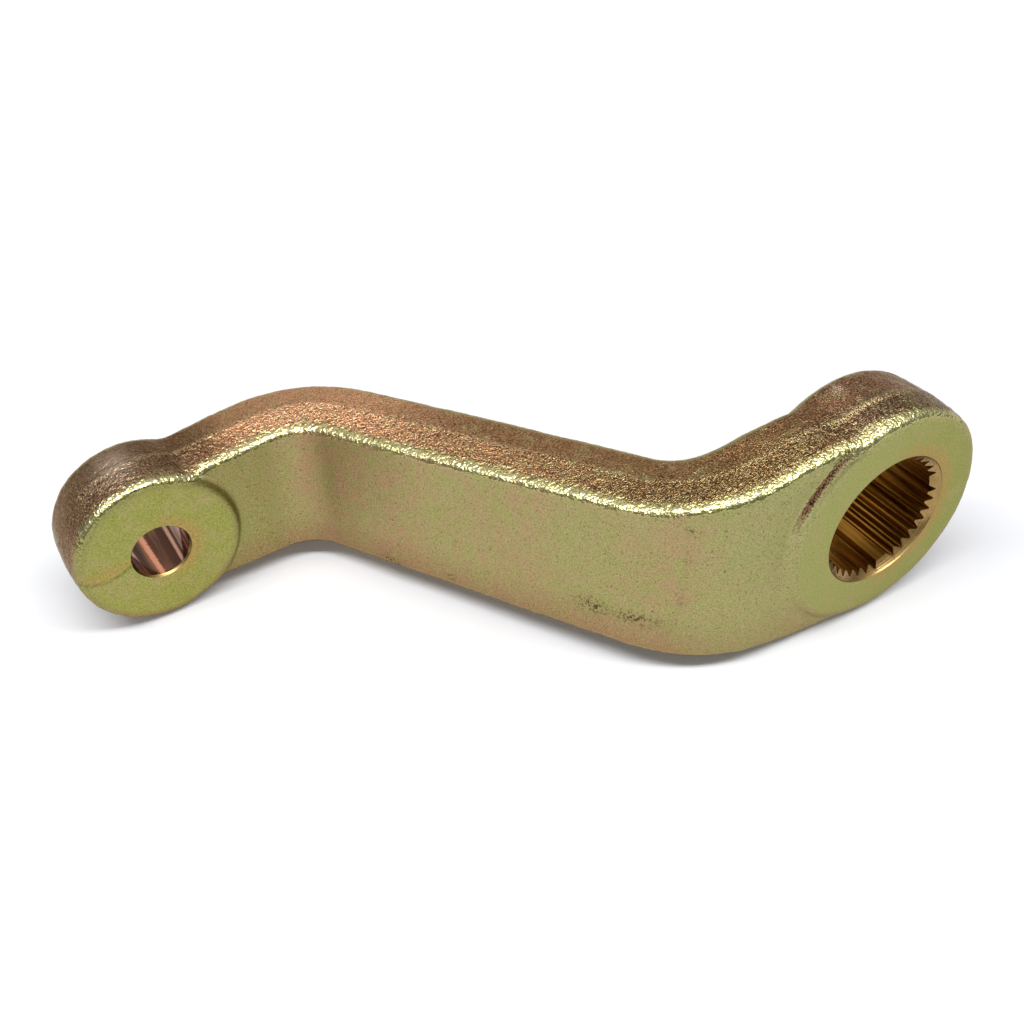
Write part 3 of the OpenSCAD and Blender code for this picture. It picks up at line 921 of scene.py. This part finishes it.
def makeFloor():
    deselect()
    bpy.ops.mesh.primitive_plane_add(size=studio["floorSize"], location=(0, 0, floorZ))
    floor = bpy.context.object
    floor.name = "floor"
    material, tree, place = newMaterial("paleStudioFloor")
    paint = addNode(tree, "ShaderNodeBsdfDiffuse", {"Color": linear(studio["floor"])})
    # the backdrop runs out to plain white away from the part, and keeps the shadow near it
    away = addNode(tree, "ShaderNodeVectorMath", {"operation": "LENGTH", 0: place})
    near, far = studio["liftReach"]
    low, high = studio["lift"]
    lift = addNode(tree, "ShaderNodeMapRange", {
        "Value": away.outputs["Value"], "From Min": near, "From Max": far, "To Min": low, "To Max": high})
    strength = addNode(tree, "ShaderNodeMath", {
        "operation": "MULTIPLY", 0: lift.outputs["Result"], 1: seenWhite(tree)})
    glow = addNode(tree, "ShaderNodeEmission", {"Strength": strength.outputs[0]})
    both = addNode(tree, "ShaderNodeAddShader", {0: paint.outputs[0], 1: glow.outputs[0]})
    addNode(tree, "ShaderNodeOutputMaterial", {"Surface": both.outputs[0]})
    floor.data.materials.append(material)


def makeCloth():
    deselect()
    bpy.ops.mesh.primitive_cylinder_add(
        vertices=studio["clothSides"], radius=studio["clothRadius"], depth=studio["clothHeight"],
        end_fill_type="NOTHING", location=(0, 0, floorZ + studio["clothHeight"] / 2))
    cloth = bpy.context.object
    cloth.name = "darkCloth"
    material, tree, place = newMaterial("darkStudioCloth")
    axes = addNode(tree, "ShaderNodeSeparateXYZ", {"Vector": place})
    # dark behind the camera, grey across the table, and pale towards its upper edge,
    # so that reflections run out softly
    sources = {"across": axes.outputs["Y"], "up": axes.outputs["Z"]}
    colour = layOver(tree, linear(studio["clothFront"]), sources, [
        (studio["clothBack"], "across", *studio["clothTurn"], 1),
        (studio["clothTop"], "up", *studio["clothFade"], 1)])
    paint = addNode(tree, "ShaderNodeBsdfDiffuse", {"Color": colour})
    addNode(tree, "ShaderNodeOutputMaterial", {"Surface": paint.outputs[0]})
    cloth.data.materials.append(material)
    for ray in ("visible_camera", "visible_diffuse", "visible_shadow", "visible_transmission"):
        setattr(cloth, ray, False)


def makeSky():
    world = bpy.data.worlds.new("studioSky")
    bpy.context.scene.world = world
    world.use_nodes = True
    tree = world.node_tree
    tree.nodes.clear()
    strength = addNode(tree, "ShaderNodeMapRange", {
        "Value": seenWhite(tree), "To Min": studio["sky"], "To Max": 1})
    sky = addNode(tree, "ShaderNodeBackground", {
        "Color": (1, 1, 1, 1), "Strength": strength.outputs["Result"]})
    addNode(tree, "ShaderNodeOutputWorld", {"Surface": sky.outputs[0]})


def makeSoftbox():
    data = bpy.data.lights.new("softbox", "AREA")
    data.shape = "RECTANGLE"
    data.size, data.size_y = studio["softboxSize"]
    data.energy = studio["softboxPower"]
    softbox = bpy.data.objects.new("softbox", data)
    towards = outward(studio["softboxAzimuth"], studio["softboxElevation"])
    softbox.location = towards * studio["softboxAway"]
    softbox.rotation_euler = towards.to_track_quat("Z", "Y").to_euler()
    softbox.visible_camera = False
    bpy.context.collection.objects.link(softbox)


# Camera at the photograph's angle, in degrees and mm; the focal length is in pixels of the square frame
cameraView = {
    "azimuth": -31.196, "elevation": 40.96, "roll": 1.596, "place": (-182.68, -139.59, 191.45),
    "focal": 1278.7, "frame": 1024, "sensor": 36, "nearest": 10,
}


def makeCamera():
    back = outward(cameraView["azimuth"], cameraView["elevation"])
    level = back.to_track_quat("Z", "Y").to_matrix()
    data = bpy.data.cameras.new("camera")
    data.sensor_width = cameraView["sensor"]
    data.lens = cameraView["focal"] / cameraView["frame"] * cameraView["sensor"]
    data.clip_start = cameraView["nearest"] * mm
    camera = bpy.data.objects.new("camera", data)
    turned = Matrix.Rotation(-math.radians(cameraView["roll"]), 3, back) @ level
    camera.matrix_world = Matrix.Translation(Vector(cameraView["place"]) * mm) @ turned.to_4x4()
    bpy.context.collection.objects.link(camera)
    bpy.context.scene.camera = camera


makeFloor()
makeCloth()
makeSky()
makeSoftbox()
makeCamera()
bpy.context.scene.view_settings.view_transform = "Standard"
print("studio made")
